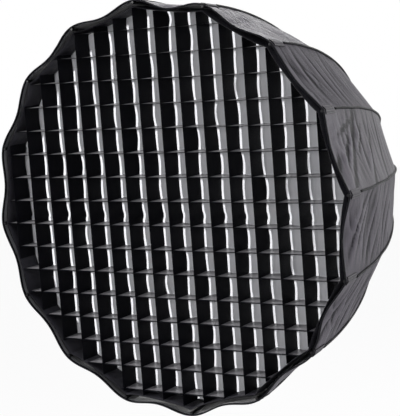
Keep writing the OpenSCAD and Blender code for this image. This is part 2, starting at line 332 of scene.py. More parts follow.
def make_object(name, verts, faces, materials, which=None, normals=None, thread=None, painted_light_and_shade=None):
    """A mesh object; which is each face's material, normals one per vertex, thread a coordinate per vertex, and the
    last argument the painted light and shade at each vertex: a painted highlight above 0.5, painted crease shade
    below."""
    me = bpy.data.meshes.new(name)
    me.from_pydata([tuple(v) for v in verts], [], [tuple(f) for f in faces])
    for m in materials:
        me.materials.append(m)
    if which is not None:
        me.polygons.foreach_set("material_index", np.asarray(which, np.int32))
    me.polygons.foreach_set("use_smooth", np.ones(len(faces), bool))
    loops = np.zeros(len(me.loops), np.int32)
    me.loops.foreach_get("vertex_index", loops)
    if thread is not None:
        layer = me.uv_layers.new(name="thread")
        layer.data.foreach_set("uv", np.asarray(thread, np.float32)[loops].ravel())
    if normals is not None:
        me.normals_split_custom_set([tuple(x) for x in np.asarray(normals)[loops]])
    if painted_light_and_shade is not None:
        me.attributes.new("painted_light_and_shade", "FLOAT", "POINT").data.foreach_set("value", np.asarray(painted_light_and_shade, np.float32))
    me.update()
    o = bpy.data.objects.new(name, me)
    scene.collection.objects.link(o)
    return o


def grid_quads(rows, cols, first=0, flip=False):
    q = []
    for i in range(rows - 1):
        for j in range(cols - 1):
            a = first + i * cols + j
            f = (a, a + 1, a + cols + 1, a + cols)
            q.append(f[::-1] if flip else f)
    return q


def slab(outer, normal, thick):
    """Closed sheet from a grid of points: outer side, inner side and edges, with a normal for each vertex.
    Returns points, faces, which side each face is on and normals."""
    rows, cols = outer.shape[:2]
    inner = outer - normal * thick
    n = rows * cols
    pts = np.concatenate([outer.reshape(-1, 3), inner.reshape(-1, 3)])
    nrm = np.concatenate([normal.reshape(-1, 3), -normal.reshape(-1, 3)])
    faces = grid_quads(rows, cols) + grid_quads(rows, cols, n, True)
    quads = (rows - 1) * (cols - 1)
    which = [OUTER] * quads + [INNER] * quads
    ring = list(range(cols)) + [i * cols + cols - 1 for i in range(1, rows)]
    ring += [(rows - 1) * cols + j for j in range(cols - 2, -1, -1)] + [i * cols for i in range(rows - 2, 0, -1)]
    for a, b in zip(ring, ring[1:] + ring[:1]):
        faces.append((b, a, a + n, b + n))
        which.append(EDGE)
    turned = np.cross(outer[:-1, 1:] - outer[1:, :-1], outer[1:, 1:] - outer[:-1, :-1])
    if (turned * normal[:-1, :-1]).sum() < 0:
        faces = [f[::-1] for f in faces]
    return pts, faces, which, nrm


def outward(points):
    """Unit normals of a grid of points, away from the box's axis."""
    nrm = np.cross(np.gradient(points, axis=1), np.gradient(points, axis=0))
    nrm /= np.linalg.norm(nrm, axis=2, keepdims=True)
    away = (nrm[..., 0] * points[..., 0] + nrm[..., 2] * points[..., 2]).sum()
    return nrm if away >= 0 else -nrm


def two_sided(threads):
    """Thread coordinates of a slab, from those of its outer side's grid."""
    return np.tile(threads.reshape(-1, 2), (2, 1))


# The shell: one grid of points all round, then cut into pieces that ride on the ribs

ROW_STEP = 0.0042
ROWS = int(SPAN / ROW_STEP) + 1
S = np.linspace(0, SPAN, ROWS)
# Places of the points between a rib, 0, and the middle of a gore, 1
FRACTIONS = np.array([0, 0.03, 0.07, 0.12, 0.19, 0.27, 0.35, 0.43, 0.51, 0.59, 0.67, 0.75, 0.83, 0.91, 1.0])
SIDE = len(FRACTIONS) - 1
COLS = 2 * SIDE
# Places of the columns beside one rib, from the middle of one gore to the middle of the next
V = np.concatenate([-FRACTIONS[:0:-1], FRACTIONS])
rng = np.random.default_rng(16)

# How far a gore's edge is pulled in at the rim beyond the even dip, where not the usual, and over what length
PULL = {3: 0.0055, 0: 0.004, 15: 0.0055, 1: 0.002, 14: 0.005, 13: 0.001}
USUAL_PULL, PULL_LEN = 0.0005, 0.050
# How a gore's creases lean, where it isn't left to chance, and the spread where it is
LEAN = {15: -0.10, 14: -0.06, 0: -0.02, 1: 0.0, 2: 0.0}
LEAN_SPREAD = 0.06
# Near the front cloths the creases go less far inwards, and at the rim they stand out less, by these shares
TAUT_LEN, TAUT_EASE, TAUT_SHARE = 0.125, 0.035, 0.65
RIM_SHARE = 0.5
# Towards the hub the cloth is tauter: share of the creases' height, up to where, and over what share it grows
CALM, CALM_TO, CALM_EASE = 0.28, 0.38, 0.35
# How steeply the creases rise from the seams, and the length over which they rise at the hub
SEAM_POWER, HUB_EASE = 0.55, 0.08
# How far the rim is rounded over the ribs' tips, and the length of cloth that it takes
ROUND = {0: 0.25, 15: 0.25, 1: 0.35, 14: 0.5}
ROUND_LEN = 0.080
ARCH = RIM_R * (1 - math.cos(HALF))
# Share of the usual depth that a gore's chance creases have, and of the usual painted highlight near its rim
STRENGTH = {0: 0.6, 1: 0.5}
RIM_HIGHLIGHT_SHARE = {0: 1.4, 1: 0.0}
# Folds that the photograph shows one by one: gore, distance behind the rim at its middle, slope, depth, width, and
# the place across and half length of its deep part
FOLD_LINES = ((0, 0.103, -0.118, 0.0052, 0.0118, 0.45, 0.60), (0, 0.066, -0.110, 0.0034, 0.0062, 0.50, 0.16),
              (0, 0.140, -0.160, 0.0032, 0.0066, 0.62, 0.13), (0, 0.222, -0.098, 0.0042, 0.0085, 0.32, 0.36),
              (0, 0.323, -0.050, 0.0036, 0.0090, 0.55, 0.50), (0, 0.025, -0.100, 0.0012, 0.0110, 0.35, 0.10),
              (0, -0.072, -0.580, 0.0030, 0.0180, 0.78, 0.09))
# Chance folds of each gore, main ones and then fine creases: spacing, depth and width, each as least and spread
FOLDS = ((0.034, 0.036, 0.0034, 0.0036, 0.0054, 0.0046), (0.012, 0.024, 0.0004, 0.0011, 0.0034, 0.0030))
# Where the first begins, how far behind the rim they end, and their deep part's place across and half length
FOLD_FROM, FOLD_STOP, FOLD_MID, FOLD_REACH = (0.05, 0.03), 0.02, (0.1, 0.8), (0.3, 0.5)
SLOPE_SPREAD, BOW, BOW_BIAS, DEPTH_BIAS = 0.05, 0.03, 0.3, 1.5
# Short crumples near the rim of each gore, the same way
CRUMPLES, CRUMPLE_BACK, CRUMPLE_ZONE, CRUMPLE_SLOPE = 9, 0.015, 0.10, 0.22
CRUMPLE_DEPTH, CRUMPLE_WIDTH = (0.0012, 0.0022), (0.0036, 0.002)
CRUMPLE_MID, CRUMPLE_REACH = (0.15, 0.7), (0.08, 0.14)
# Slow swells along each gore: number, height, waves to its length, phase
SWELLS, SWELL, SWELL_RATE, SWELL_PHASE = 3, 0.003, (4, 5), 6.3
# Section of a crease: sharpness of its valley, and height, place and width of the lip beside it
VALLEY, LIP, LIP_AT, LIP_WIDE = 1.5, 0.7, 1.6, 1.5
# The cloth stands a little proud of the rods along the ribs, and sags less between them away from the rim
BULGE, MID_SAG = 0.002, 0.35
# Rise of a crease at which its painted shade or painted highlight is full, and the strength of the painted shade
# along the folds placed one by one
SHADE_DEPTH, FOLD_DARK = 0.0030, 0.90
# The painted shade and highlight follow the creases' height against its mean over this many rows: valleys darker,
# ridges paler
MEAN_ROWS = 9
# A painted highlight makes the cloth paler towards the rim
RIM_HIGHLIGHT, RIM_HIGHLIGHT_LEN = 0.30, 0.120


def chance(least, spread):
    return least + spread * rng.random()


def ease(x):
    return x * x * (3 - 2 * x)


def crease(d, width):
    """Section of one crease across its line: a narrow valley with a soft lip on one side."""
    return (-np.exp(-np.abs(d / width) ** VALLEY)
            + LIP * np.exp(-(((d - LIP_AT * width) / (LIP_WIDE * width)) ** 2)))


def gore_relief(g):
    """Height of the creases of gore g, as a function of place across (0 to 1) and arc length."""
    lines = []
    lean = LEAN.get(g, LEAN_SPREAD * (rng.random() - 0.5))
    for gap, more_gap, deep, more_deep, wide, more_wide in FOLDS:
        at = chance(*FOLD_FROM)
        while at < SPAN - FOLD_STOP:
            lines.append((at, lean + SLOPE_SPREAD * (rng.random() - 0.5), BOW * (rng.random() - BOW_BIAS),
                          deep + more_deep * rng.random() ** DEPTH_BIAS, chance(wide, more_wide),
                          chance(*FOLD_MID), chance(*FOLD_REACH)))
            at += chance(gap, more_gap)
    for _ in range(CRUMPLES):
        lines.append((SPAN - CRUMPLE_BACK - CRUMPLE_ZONE * rng.random(), CRUMPLE_SLOPE * (rng.random() - 0.5), 0.0,
                      chance(*CRUMPLE_DEPTH), chance(*CRUMPLE_WIDTH), chance(*CRUMPLE_MID), chance(*CRUMPLE_REACH)))
    strength = STRENGTH.get(g, 1.0)
    lines = [(start, slope, bow, strength * deep, *rest) for start, slope, bow, deep, *rest in lines]
    lines += [(SPAN - back, slope, 0.0, *rest) for gore, back, slope, *rest in FOLD_LINES if gore == g]
    swells = [(SWELL * (rng.random() - 0.5), chance(*SWELL_RATE), SWELL_PHASE * rng.random()) for _ in range(SWELLS)]
    pull = PULL.get(g, USUAL_PULL)

    def height(x, s, shaped=True):
        h = np.zeros(np.broadcast(x, s).shape)
        for start, slope, bow, deep, width, mid, reach in lines:
            d = s - start - slope * (x - 0.5) - bow * (1 - 4 * (x - 0.5) ** 2)
            h += deep * crease(d, width) * np.exp(-(((x - mid) / reach) ** 2))
        for size, rate, phase in swells:
            h += size * np.sin(rate * 2 * math.pi * s / SPAN + phase)
        loose = CALM + (1 - CALM) * np.clip((s / SPAN - CALM_TO) / CALM_EASE, 0, 1)
        h = h * np.clip(np.sin(math.pi * x), 0, 1) ** SEAM_POWER * np.clip(s / HUB_EASE, 0, 1) * loose
        if not shaped:
            return h
        near = np.clip((s - SPAN + PULL_LEN) / PULL_LEN, 0, 1)
        taut = np.clip((s - SPAN + TAUT_LEN) / TAUT_EASE, 0, 1)
        h = h * np.where(h < 0, 1 - TAUT_SHARE * taut, 1 - RIM_SHARE * near)
        edge = np.clip((s - SPAN + ROUND_LEN) / ROUND_LEN, 0, 1)
        swing = (ARCH + SCALLOP + pull) * (4 * x * (1 - x) - np.sin(math.pi * x) ** 2)
        return h - pull * ease(near) * 4 * x * (1 - x) + ROUND.get(g, 1.0) * swing * ease(edge)

    return height


reliefs = [gore_relief(g) for g in range(RIBS)]


def dip(r, s):
    """How far the cloth sags at the middle of a gore."""
    near = np.clip((s - SPAN + 2 * PULL_LEN) / (2 * PULL_LEN), 0, 1)
    return SCALLOP * (r - ARC_FROM[0]) / (RIM_R - ARC_FROM[0]) * (MID_SAG + (1 - MID_SAG) * near)


def cloth_height(k, v, s, shaped=True):
    """Height of the creases beside rib k, v from -1 to 1 as below; not shaped is the creases alone."""
    tau = np.clip(np.abs(v) / 2, 0, 1)
    return np.where(v >= 0, reliefs[k % RIBS](tau, s, shaped), reliefs[(k - 1) % RIBS](1 - tau, s, shaped))


def shell_points(k, v, s):
    """Points of the cloth near rib k: v from -1 to 1 is the place between the middles of its two gores."""
    r, z, lean = rib_profile(s, CLOTH_OUT + BULGE * np.sin(math.pi * np.clip(s / SPAN, 0, 1)))
    side = np.where(v < 0, -1.0, 1.0)
    tau = np.abs(v) / 2
    a = k * STEP
    mid = a + side * HALF
    t = tau * 2 * r * math.sin(HALF)
    down = dip(r, s) * 4 * tau * (1 - tau)
    h = cloth_height(k, v, s)
    x = r * math.cos(a) - side * t * np.sin(mid) + (h * np.cos(lean) - down) * np.cos(mid)
    y = r * math.sin(a) + side * t * np.cos(mid) + (h * np.cos(lean) - down) * np.sin(mid)
    return to_row(x, y, z - h * np.sin(lean))


def fold_shade(g, x, s):
    """How much painted shade gore g gets along the folds that are placed one by one."""
    dark = np.zeros(len(s))
    for gore, back, slope, _, width, mid, reach in FOLD_LINES:
        if gore == g:
            d = s - SPAN + back - slope * (x - 0.5)
            dark += FOLD_DARK * np.exp(-((d / width) ** 2) - ((x - mid) / reach) ** 2)
    return dark


def column_light_and_shade(k, v):
    """Painted shade and highlight of the cloth down one column beside rib k: darker in crease valleys and along the
    listed folds, paler on ridges and towards the rim.
    """
    rise = cloth_height(k, np.full(ROWS, v), S, False)
    flat = np.convolve(np.pad(rise, MEAN_ROWS // 2, "edge"), np.ones(MEAN_ROWS) / MEAN_ROWS, "valid")
    g, x = (k, v / 2) if v >= 0 else ((k - 1) % RIBS, 1 + v / 2)
    # Painted highlight towards the rim
    painted_light = RIM_HIGHLIGHT * np.clip((S - SPAN + RIM_HIGHLIGHT_LEN) / RIM_HIGHLIGHT_LEN, 0, 1)
    return 0.5 + np.clip((rise - flat) / SHADE_DEPTH, -0.5, 0.5) + painted_light * RIM_HIGHLIGHT_SHARE.get(g, 1.0) - fold_shade(g, x, S)


columns = [(k, v) for k in range(RIBS) for v in V[:-1]]
ring = np.stack([shell_points(k, np.full(ROWS, v), S) for k, v in columns], 1)
# Painted light and shade of the shell: crease valleys and listed folds darker, ridges and the rim paler
ring_light_and_shade = np.stack([column_light_and_shade(k, v) for k, v in columns], 1)
along = np.gradient(ring, axis=0)
across = np.roll(ring, -1, 1) - np.roll(ring, 1, 1)
ring_n = np.cross(across, along)
ring_n /= np.linalg.norm(ring_n, axis=2, keepdims=True)
half_way = ROWS // 2
if (ring_n[half_way, :, 0] * ring[half_way, :, 0] + ring_n[half_way, :, 2] * ring[half_way, :, 2]).sum() < 0:
    ring_n = -ring_n


def rib_frame(k):
    """Directions outwards from the axis at rib k, and across the rib."""
    a = k * STEP
    return np.array([math.cos(a), 0, math.sin(a)]), np.array([-math.sin(a), 0, math.cos(a)])


def rib_columns(k):
    """Columns of the shell's grid beside rib k, from the middle of one gore to the middle of the next."""
    return [(k * COLS + j) % (RIBS * COLS) for j in range(COLS + 1)]


def fold_keep(points, k):
    """Share of the width across rib k that is left when the fold ends, so that the cloth meets the next rib's."""
    u, t = rib_frame(k)
    rad, tan, fwd = points @ u, np.abs(points @ t), -points[..., 1]
    folded = HINGE_R + (rad - HINGE_R) * math.cos(FOLD) - (fwd - HINGE_Z) * math.sin(FOLD)
    return folded * math.tan(HALF) / tan


# Bands of each rib's cloth, cut where the share of its width left at the fold's end steps down evenly, and a least
# share
BANDS, LEAST_KEEP = 12, 0.05
edge_keep = fold_keep(ring[:, COLS], 0)
targets = np.exp(np.linspace(math.log(edge_keep[0]), math.log(edge_keep[-1]), BANDS + 1))
cuts = [int(np.argmin(np.abs(edge_keep - t))) for t in targets]
cuts[0], cuts[-1] = 0, ROWS - 1

# Where the loop tape for the front cloths is sewn inside the shell
LOOP_FROM, LOOP_TO = SPAN - 0.075, SPAN - 0.012
SHELL_FACE, LINING_FACE, LOOP_FACE = 0, 1, 2


def sew(o, k):
    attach(o, f"rib_{k:02d}")


def join_fold(o, k):
    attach(o, f"rib_{k:02d}")
    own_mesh(o)


for k in range(RIBS):
    cols = rib_columns(k)
    for b, (lo, hi) in enumerate(zip(cuts, cuts[1:])):
        outer, nrm = ring[lo:hi + 1][:, cols], ring_n[lo:hi + 1][:, cols]
        pts, faces, which, nn = slab(outer, nrm, CLOTH_T)
        rows = hi - lo
        quads = rows * COLS
        s_mid = (S[lo:hi] + S[lo + 1:hi + 1]) / 2
        tape = np.repeat((s_mid > LOOP_FROM) & (s_mid < LOOP_TO), COLS)
        which = np.full(len(which), SHELL_FACE)
        which[quads:2 * quads] = np.where(tape, LOOP_FACE, LINING_FACE)
        steps = np.linalg.norm(np.diff(outer, axis=1), axis=2)
        width = steps.sum(1)
        cross = np.cumsum(np.concatenate([np.zeros((rows + 1, 1)), steps], 1), 1)
        thread = np.stack([cross - width[:, None] / 2, np.repeat(S[lo:hi + 1][:, None], COLS + 1, 1)], -1)
        o = make_object(f"shell_{k:02d}_{b}", pts, faces, [shell_mat, silver_mat, loop_mat], which, nn,
                        two_sided(thread), np.tile(ring_light_and_shade[lo:hi + 1][:, cols].ravel(), 2))
        join_fold(o, k)
        if b == 0:
            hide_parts(f"panel_{k:02d}")

# Trim on the shell: piping on each seam, a bound rim and a pocket patch at each rib's tip

PATCH_LEN, PATCH_HALF, PATCH_T = 0.044, 0.0098, 0.0019
PATCH_ROWS, PATCH_COLS = 12, 13
# Patch: distance behind the rim, height over the cloth, and what the rod adds to it over what width
PATCH_BACK, PATCH_LIFT, ROD_LIFT, ROD_WIDE = 0.008, 0.0021, 0.0006, 0.004
# Seam piping: radius, share of it that stands out, points round it, and how far and often it wanders
PIPING_R, PIPING_OUT, PIPING_SIDES = 0.0026, 0.45, 10
PIPING_WAVE, PIPING_TURNS = 0.0006, 40
PIPING = [(PIPING_R * math.cos(a), PIPING_R * (PIPING_OUT + math.sin(a)))
          for a in np.linspace(0, 2 * math.pi, PIPING_SIDES, endpoint=False)]
# Section of the rim tape: forwards along the outside, round the edge and back along the inside
RIM_TAPE = [(-0.0038, 0.0002), (-0.0035, 0.0010), (-0.0027, 0.0013), (-0.0018, 0.0009), (-0.0008, 0.0017),
            (0.0005, 0.0015), (0.0013, 0.0006), (0.0014, -0.0006), (0.0008, -0.0016), (-0.0006, -0.0019),
            (-0.0026, -0.0019), (-0.0038, -0.0016)]
TUBE_THREAD = 0.001
# Stitches: first place, room at the end, spacing, length, depth of their feet and width of their backs
STITCH_FROM, STITCH_STOP, STITCH_STEP, STITCH_LEN = 0.0012, 0.002, 0.0034, 0.0022
STITCH_SINK, STITCH_BACK = 0.0003, 0.6
# A stitch's sections: place along it, half width and height
STITCH = ((0, 0.0005, 0), (0.5, 0.0009, 0.0009), (1, 0.0005, 0))
# Rows and columns of the patch's points along which it is stitched
STITCH_LINES = ((slice(0, None), 1), (slice(0, None), 4), (slice(0, None), -2), (1, slice(1, -1)))


def distances(path):
    """How far along the path each of its points is."""
    return np.concatenate([[0], np.cumsum(np.linalg.norm(np.diff(path, axis=0), axis=1))])


def tube(name, path, normal, side, section):
    """Closed tube of binding tape: section is a list of (sideways, outwards) places round the path's points."""
    sec = np.array(section)
    pts = path[:, None] + sec[None, :, 0, None] * side[:, None] + sec[None, :, 1, None] * normal[:, None]
    n, m = pts.shape[:2]
    faces = [(i * m + j, i * m + (j + 1) % m, (i + 1) * m + (j + 1) % m, (i + 1) * m + j)
             for i in range(n - 1) for j in range(m)]
    faces += [tuple(range(m))[::-1], tuple((n - 1) * m + j for j in range(m))]
    thread = np.stack([np.tile(np.arange(m) * TUBE_THREAD, n), np.repeat(distances(path), m)], -1)
    return make_object(name, pts.reshape(-1, 3), faces, [binding_mat], thread=thread)


for k in range(RIBS):
    _, t = rib_frame(k)
    stop = int(np.argmin(np.abs(S - (SPAN - PATCH_LEN - PATCH_BACK))))
    path, nrm = ring[:stop:2, k * COLS + SIDE], ring_n[:stop:2, k * COLS + SIDE]
    wave = PIPING_WAVE * np.sin(np.linspace(0, PIPING_TURNS, len(path)) + k)
    path = path + wave[:, None] * t
    sew(tube(f"seam_piping_{k:02d}", path, nrm, np.repeat(t[None], len(path), 0), PIPING), k)

for k in range(RIBS):
    cols = rib_columns(k)
    edge, nrm, fwd = ring[-1, cols], ring_n[-1, cols], ring[-1, cols] - ring[-2, cols]
    fwd /= np.linalg.norm(fwd, axis=1, keepdims=True)
    o = tube(f"rim_binding_{k:02d}", edge, nrm, fwd, RIM_TAPE)
    join_fold(o, k)


def near_rib(k, tangent, s, off):
    """Points on the cloth beside rib k at a sideways distance, pushed out by off."""
    r, _, lean = rib_profile(s, CLOTH_OUT)
    v = np.clip(tangent / (r * math.sin(HALF)), -1, 1)
    u, _ = rib_frame(k)
    out = np.cos(lean)[..., None] * u + np.sin(lean)[..., None] * np.array([0, 1.0, 0])
    return shell_points(k, v, s) + off[..., None] * out


def stitch(path, out):
    """A row of short raised stitches along a path."""
    verts, faces = [], []
    d = distances(path)
    for at in np.arange(STITCH_FROM, d[-1] - STITCH_STOP, STITCH_STEP):
        a, b = [np.array([np.interp(x, d, path[:, i]) for i in range(3)]) for x in (at, at + STITCH_LEN)]
        o = np.array([np.interp(at, d, out[:, i]) for i in range(3)])
        side = np.cross((b - a) / np.linalg.norm(b - a), o)
        base = len(verts)
        for f, w, h in STITCH:
            c = a + (b - a) * f
            verts += [c - side * w - o * STITCH_SINK, c - side * w * STITCH_BACK + o * h,
                      c + side * w * STITCH_BACK + o * h, c + side * w - o * STITCH_SINK]
        for i in (0, 4):
            for j in range(4):
                faces.append((base + i + j, base + i + (j + 1) % 4, base + i + 4 + (j + 1) % 4, base + i + 4 + j))
        faces += [(base + 3, base + 2, base + 1, base), (base + 8, base + 9, base + 10, base + 11)]
    return verts, faces


for k in range(RIBS):
    tt = np.linspace(-PATCH_HALF, PATCH_HALF, PATCH_COLS)
    ss = np.linspace(SPAN - PATCH_BACK - PATCH_LEN, SPAN - PATCH_BACK, PATCH_ROWS)
    T, SS = np.meshgrid(tt, ss)
    outer = near_rib(k, T, SS, PATCH_LIFT + ROD_LIFT * np.exp(-((T / ROD_WIDE) ** 2)))
    nrm = outward(outer)
    pts, faces, which, nn = slab(outer, nrm, PATCH_T)
    o = make_object(f"pocket_patch_{k:02d}", pts, faces, [patch_mat, binding_mat], np.array(which) == EDGE, nn,
                    two_sided(np.stack([T, SS], -1)))
    sew(o, k)
    verts, faces = [], []
    for line in STITCH_LINES:
        more, extra = stitch(outer[line], nrm[line])
        faces += [tuple(i + len(verts) for i in f) for f in extra]
        verts += more
    o = make_object(f"patch_stitch_{k:02d}", verts, faces, [stitch_mat], thread=np.array(verts)[:, [0, 2]])
    sew(o, k)

# Skirt between the hub's plate and the gores, in one piece beside each rib

SKIRT_ROWS, SKIRT_LAP, SKIRT_FLAT = 15, 8, 0.092
# Height of its sewn edge, and its distance from the plate, from the gores and from both
SKIRT_Z, SKIRT_PLATE, SKIRT_GORE, SKIRT_OFF = 0.0065, 0.0004, 0.0012, 0.0014
# Share of its length that lies on the plate, and how it flares from there
SKIRT_HEM, SKIRT_FLARE = 0.12, 0.9
# Gathers: depth, number round the box, unevenness, place and length; and the bead where they are sewn
GATHER, GATHER_RATE, GATHER_SWAY, GATHER_SLOW = 0.0011, 96, 1.5, 5
GATHER_AT, GATHER_LEN = 0.25, 0.3
SEWN_BEAD, SEWN_AT, SEWN_LEN = 0.0012, 0.06, 0.06
# Painted shade and highlight for each metre of a gather's height, hollows darker and ridges paler, and where the
# bend between hub and rib begins
GATHER_SHADE, BEND_Z = 250, 0.012
for k in range(RIBS):
    end = ring[SKIRT_LAP, rib_columns(k)]
    a = k * STEP + HALF * V
    x = np.linspace(0, 1, SKIRT_ROWS)[:, None]
    start_r, end_r = PLATE_R + SKIRT_PLATE, np.hypot(end[:, 0], end[:, 2]) + SKIRT_GORE
    r = start_r + (end_r - start_r) * np.clip((x - SKIRT_HEM) / (1 - SKIRT_HEM), 0, 1) ** SKIRT_FLARE
    z = SKIRT_Z + (-end[:, 1] - SKIRT_Z) * x
    gather = (GATHER * np.sin(a * GATHER_RATE + GATHER_SWAY * np.sin(GATHER_SLOW * a))
              * np.exp(-((x - GATHER_AT) / GATHER_LEN) ** 2))
    r = r + gather + SEWN_BEAD * np.exp(-((x - SEWN_AT) / SEWN_LEN) ** 2) + SKIRT_OFF
    outer = to_row(r * np.cos(a), r * np.sin(a), z)
    pts, faces, _, nn = slab(outer, outward(outer), CLOTH_T)
    # The last argument is painted shade in the gathers' hollows and a painted highlight on their ridges
    o = make_object(f"rear_skirt_{k:02d}", pts, faces, [shell_mat], None, nn, two_sided(np.stack([r * a, z], -1)),
                    np.tile((0.5 + GATHER_SHADE * gather).ravel(), 2))
    stop = Vector(tuple(end[SIDE]))
    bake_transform(o)
    if k == 0:
        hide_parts("rear_skirt")

# Front cloths, cut into narrow sectors that ride on the diffuser's and the grid's bodies

SECTORS = 32
SECTOR = 2 * math.pi / SECTORS
# Sewn bands: distance inside the outline, the border's sag between the ribs and its reach at them
BAND_IN, BORDER_SAG, CORNER_OUT = 0.0012, 0.0015, 0.004
BAND_ROWS, BAND_COLS = 9, 20
HOOK_T, BORDER_T = 0.0013, 0.0012
# Bead along a band's front edge: height, place and length over the band's width
BEAD, BEAD_AT, BEAD_LEN = 0.0011, 0.985, 0.03
# Diffuser: points along and across a sector, least share of the radius, distance from the outline, thickness
DIFF_ROWS, DIFF_COLS, DIFF_LEAST, DIFF_IN, DIFF_T = 26, 6, 0.004, 0.0018, 0.0006
# Loose folds of the grid's border: depth, where it hangs loosest, and the share that is left opposite
SLACK, SLACK_AT, SLACK_LEAST = 0.0016, math.radians(225), 0.5
# Two crossed waves make them: rates, lean over the width, wander and phase; then how flat and how far forward
SLACK_RATES, SLACK_LEANS, SLACK_SWAY, SLACK_SLOW, SLACK_PHASE = (53, 21), (4.0, 3.0), 2.0, 9, 1.0
SLACK_FLAT, SLACK_FORE = 1.4, 0.8


def outline_r(a, corner):
    """Distance to the sixteen-sided outline, with a corner at each rib."""
    return corner * math.cos(HALF) / np.cos(np.mod(a, STEP) - HALF)


def eased_r(a, corner, sag):
    """The same outline for a sewn band: it draws in between the ribs and, where it does, reaches out at them."""
    between = 1 - (np.mod(a, STEP) / HALF - 1) ** 2
    return outline_r(a, corner) - BAND_IN - sag * between + (CORNER_OUT if sag else 0) * (1 - between) ** 2


def sector_fold(o, body):
    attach(o, body)
    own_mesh(o)


for j in range(SECTORS):
    a = np.linspace(j * SECTOR, (j + 1) * SECTOR, DIFF_COLS + 1)[None]
    f = np.linspace(DIFF_LEAST, 1, DIFF_ROWS)[:, None]
    r = f * outline_r(a, DIFFUSER_R - DIFF_IN)
    outer = to_row(r * np.cos(a), r * np.sin(a), np.full(r.shape, DIFFUSER_Z + CLOTH_T))
    nrm = np.zeros_like(outer)
    nrm[..., 1] = -1
    pts, faces, _, nn = slab(outer, nrm, DIFF_T)
    o = make_object(f"diffuser_{j:02d}", pts, faces, [white_mat], None, nn, two_sided(outer[..., [0, 2]]))
    sector_fold(o, "diffuser")
    if j == 0:
        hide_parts("front_diffuser", "diffuser_band")


def slack(a, f):
    """How far the border's loose folds come inwards, with f from its sewn edge, 0, to its front edge, 1."""
    more = SLACK_LEAST + (1 - SLACK_LEAST) * np.cos((a - SLACK_AT) / 2) ** 2
    fold = (np.sin(SLACK_RATES[0] * a + SLACK_LEANS[0] * f + SLACK_SWAY * np.sin(SLACK_SLOW * a))
            * np.sin(SLACK_RATES[1] * a - SLACK_LEANS[1] * f + SLACK_PHASE))
    return more * np.clip(SLACK_FLAT * fold, 0, 1) * np.sin(math.pi * f ** SLACK_FORE)


def band_piece(name, j, corner, z0, z1, thick, material, body, node, ripple, sag):
    """One sector of a sewn band. A column more on each side gives its edges the same normals as its neighbours'."""
    edge = SECTOR / BAND_COLS
    a = np.linspace(j * SECTOR - edge, (j + 1) * SECTOR + edge, BAND_COLS + 3)[None]
    f = np.linspace(0, 1, BAND_ROWS)[:, None]
    r = eased_r(a, corner, sag) - ripple * slack(a, f)
    z = z0 + (z1 - z0) * f + 0 * a
    r = r + BEAD * np.exp(-((f - BEAD_AT) / BEAD_LEN) ** 2)
    outer = to_row(r * np.cos(a), r * np.sin(a), z)
    nrm = outward(outer)
    a, r, z, outer, nrm = a[:, 1:-1], r[:, 1:-1], z[:, 1:-1], outer[:, 1:-1], nrm[:, 1:-1]
    pts, faces, _, nn = slab(outer, nrm, thick)
    o = make_object(f"{name}_{j:02d}", pts, faces, [material], None, nn, two_sided(np.stack([r * a, z], -1)))
    sector_fold(o, body)
    if node and j == 0:
        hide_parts(node)


for j in range(SECTORS):
    band_piece("diffuser_band", j, DIFFUSER_R, DIFFUSER_Z - BAND_LEN, DIFFUSER_Z, HOOK_T, hook_mat,
               "diffuser", None, 0.0, 0.0)
    band_piece("grid_border", j, GRID_R, GRID_Z, GRID_Z + GRID_DEPTH, BORDER_T, border_mat, "grid", "grid_border",
               SLACK, BORDER_SAG)

# Grid strips, dealt out to the same sectors

# Thickness of the cloth, and how far its ends stay inside the border's outline
STRIP_T, STRIP_END = 0.0008, 0.0016
# Points along a cell and down a strip, and the share of its depth that is its front hem, which keeps the plain dark
# colour while the rest of the level strips' faces carry painted light
CELL_STEPS, DEEP_STEPS, HEM = 8, 5, 0.15
# Least distance of a crossing from a strip's end
CROSSING_ROOM = 0.004
# Chance waves: depth in upright and level strips, share that runs on over crossings, and growth to the back
STRIP_WAVE, RUN_ON, WAVE_POWER = {True: 0.0019, False: 0.0012}, 0.35, 1.3
# Slow sway of each strip, and ripple of its back edge: size, rate, phase and share
SWAY, SWAY_RATE = 0.0006, 47
RIPPLE, RIPPLE_RATE, RIPPLE_PHASE, RIPPLE_SHARE = 0.0005, 90, 2.1, 0.6
# Fold that the upright strips keep from packing: place, width, depth and growth to the back
PACK_FOLD, PACK_WIDE, PACK_DEEP, PACK_POWER = -0.0182, 0.007, 0.0032, 0.8
BISECTIONS = 40
# Faces in the plain dark colour, and the level strips' faces with painted light
DARK_FACE, PAINTED_LIT_FACE = 0, 1
sector_parts = {j: ([], [], [], []) for j in range(SECTORS)}
wave_rng = np.random.default_rng(33)


def strip_at(i, upright):
    """Distance of strip i from the middle, in the grid's own axes."""
    return (i - (STRIPS - 1) / 2) * PITCH + GRID_SHIFT[0 if upright else 1]


def reach(u, turn):
    """How far a line at distance u from the middle runs to the border, in the grid's own axes."""
    near, far = 0.0, GRID_R + CORNER_OUT
    for _ in range(BISECTIONS):
        t = (near + far) / 2
        inside = math.hypot(u, t) < eased_r(math.atan2(t, u) - turn, GRID_R, BORDER_SAG) - STRIP_END
        near, far = (t, far) if inside else (near, t)
    return near


def strip_line(i, upright):
    """Distance of strip i from the middle, and places along it with the size of its chance wave at each."""
    u = strip_at(i, upright)
    turn = -GRID_TURN if upright else -GRID_TURN - math.pi / 2
    high, low = reach(u, turn), -reach(-u, turn)
    crossings = sorted(strip_at(c, not upright) * (1 if upright else -1) for c in range(STRIPS))
    marks = [low] + [c for c in crossings if low + CROSSING_ROOM < c < high - CROSSING_ROOM] + [high]
    places, wave = [], []
    bend = wave_rng.normal(0, 1, len(marks) + 2)
    for n, (a, b) in enumerate(zip(marks, marks[1:])):
        steps = max(2, int(round(CELL_STEPS * (b - a) / PITCH)))
        for q in range(steps):
            f = q / steps
            places.append(a + (b - a) * f)
            wave.append(bend[n] * math.sin(math.pi * f) + RUN_ON * (bend[n] + (bend[n + 1] - bend[n]) * f))
    return u, np.array(places + [high]), np.array(wave + [0.0])


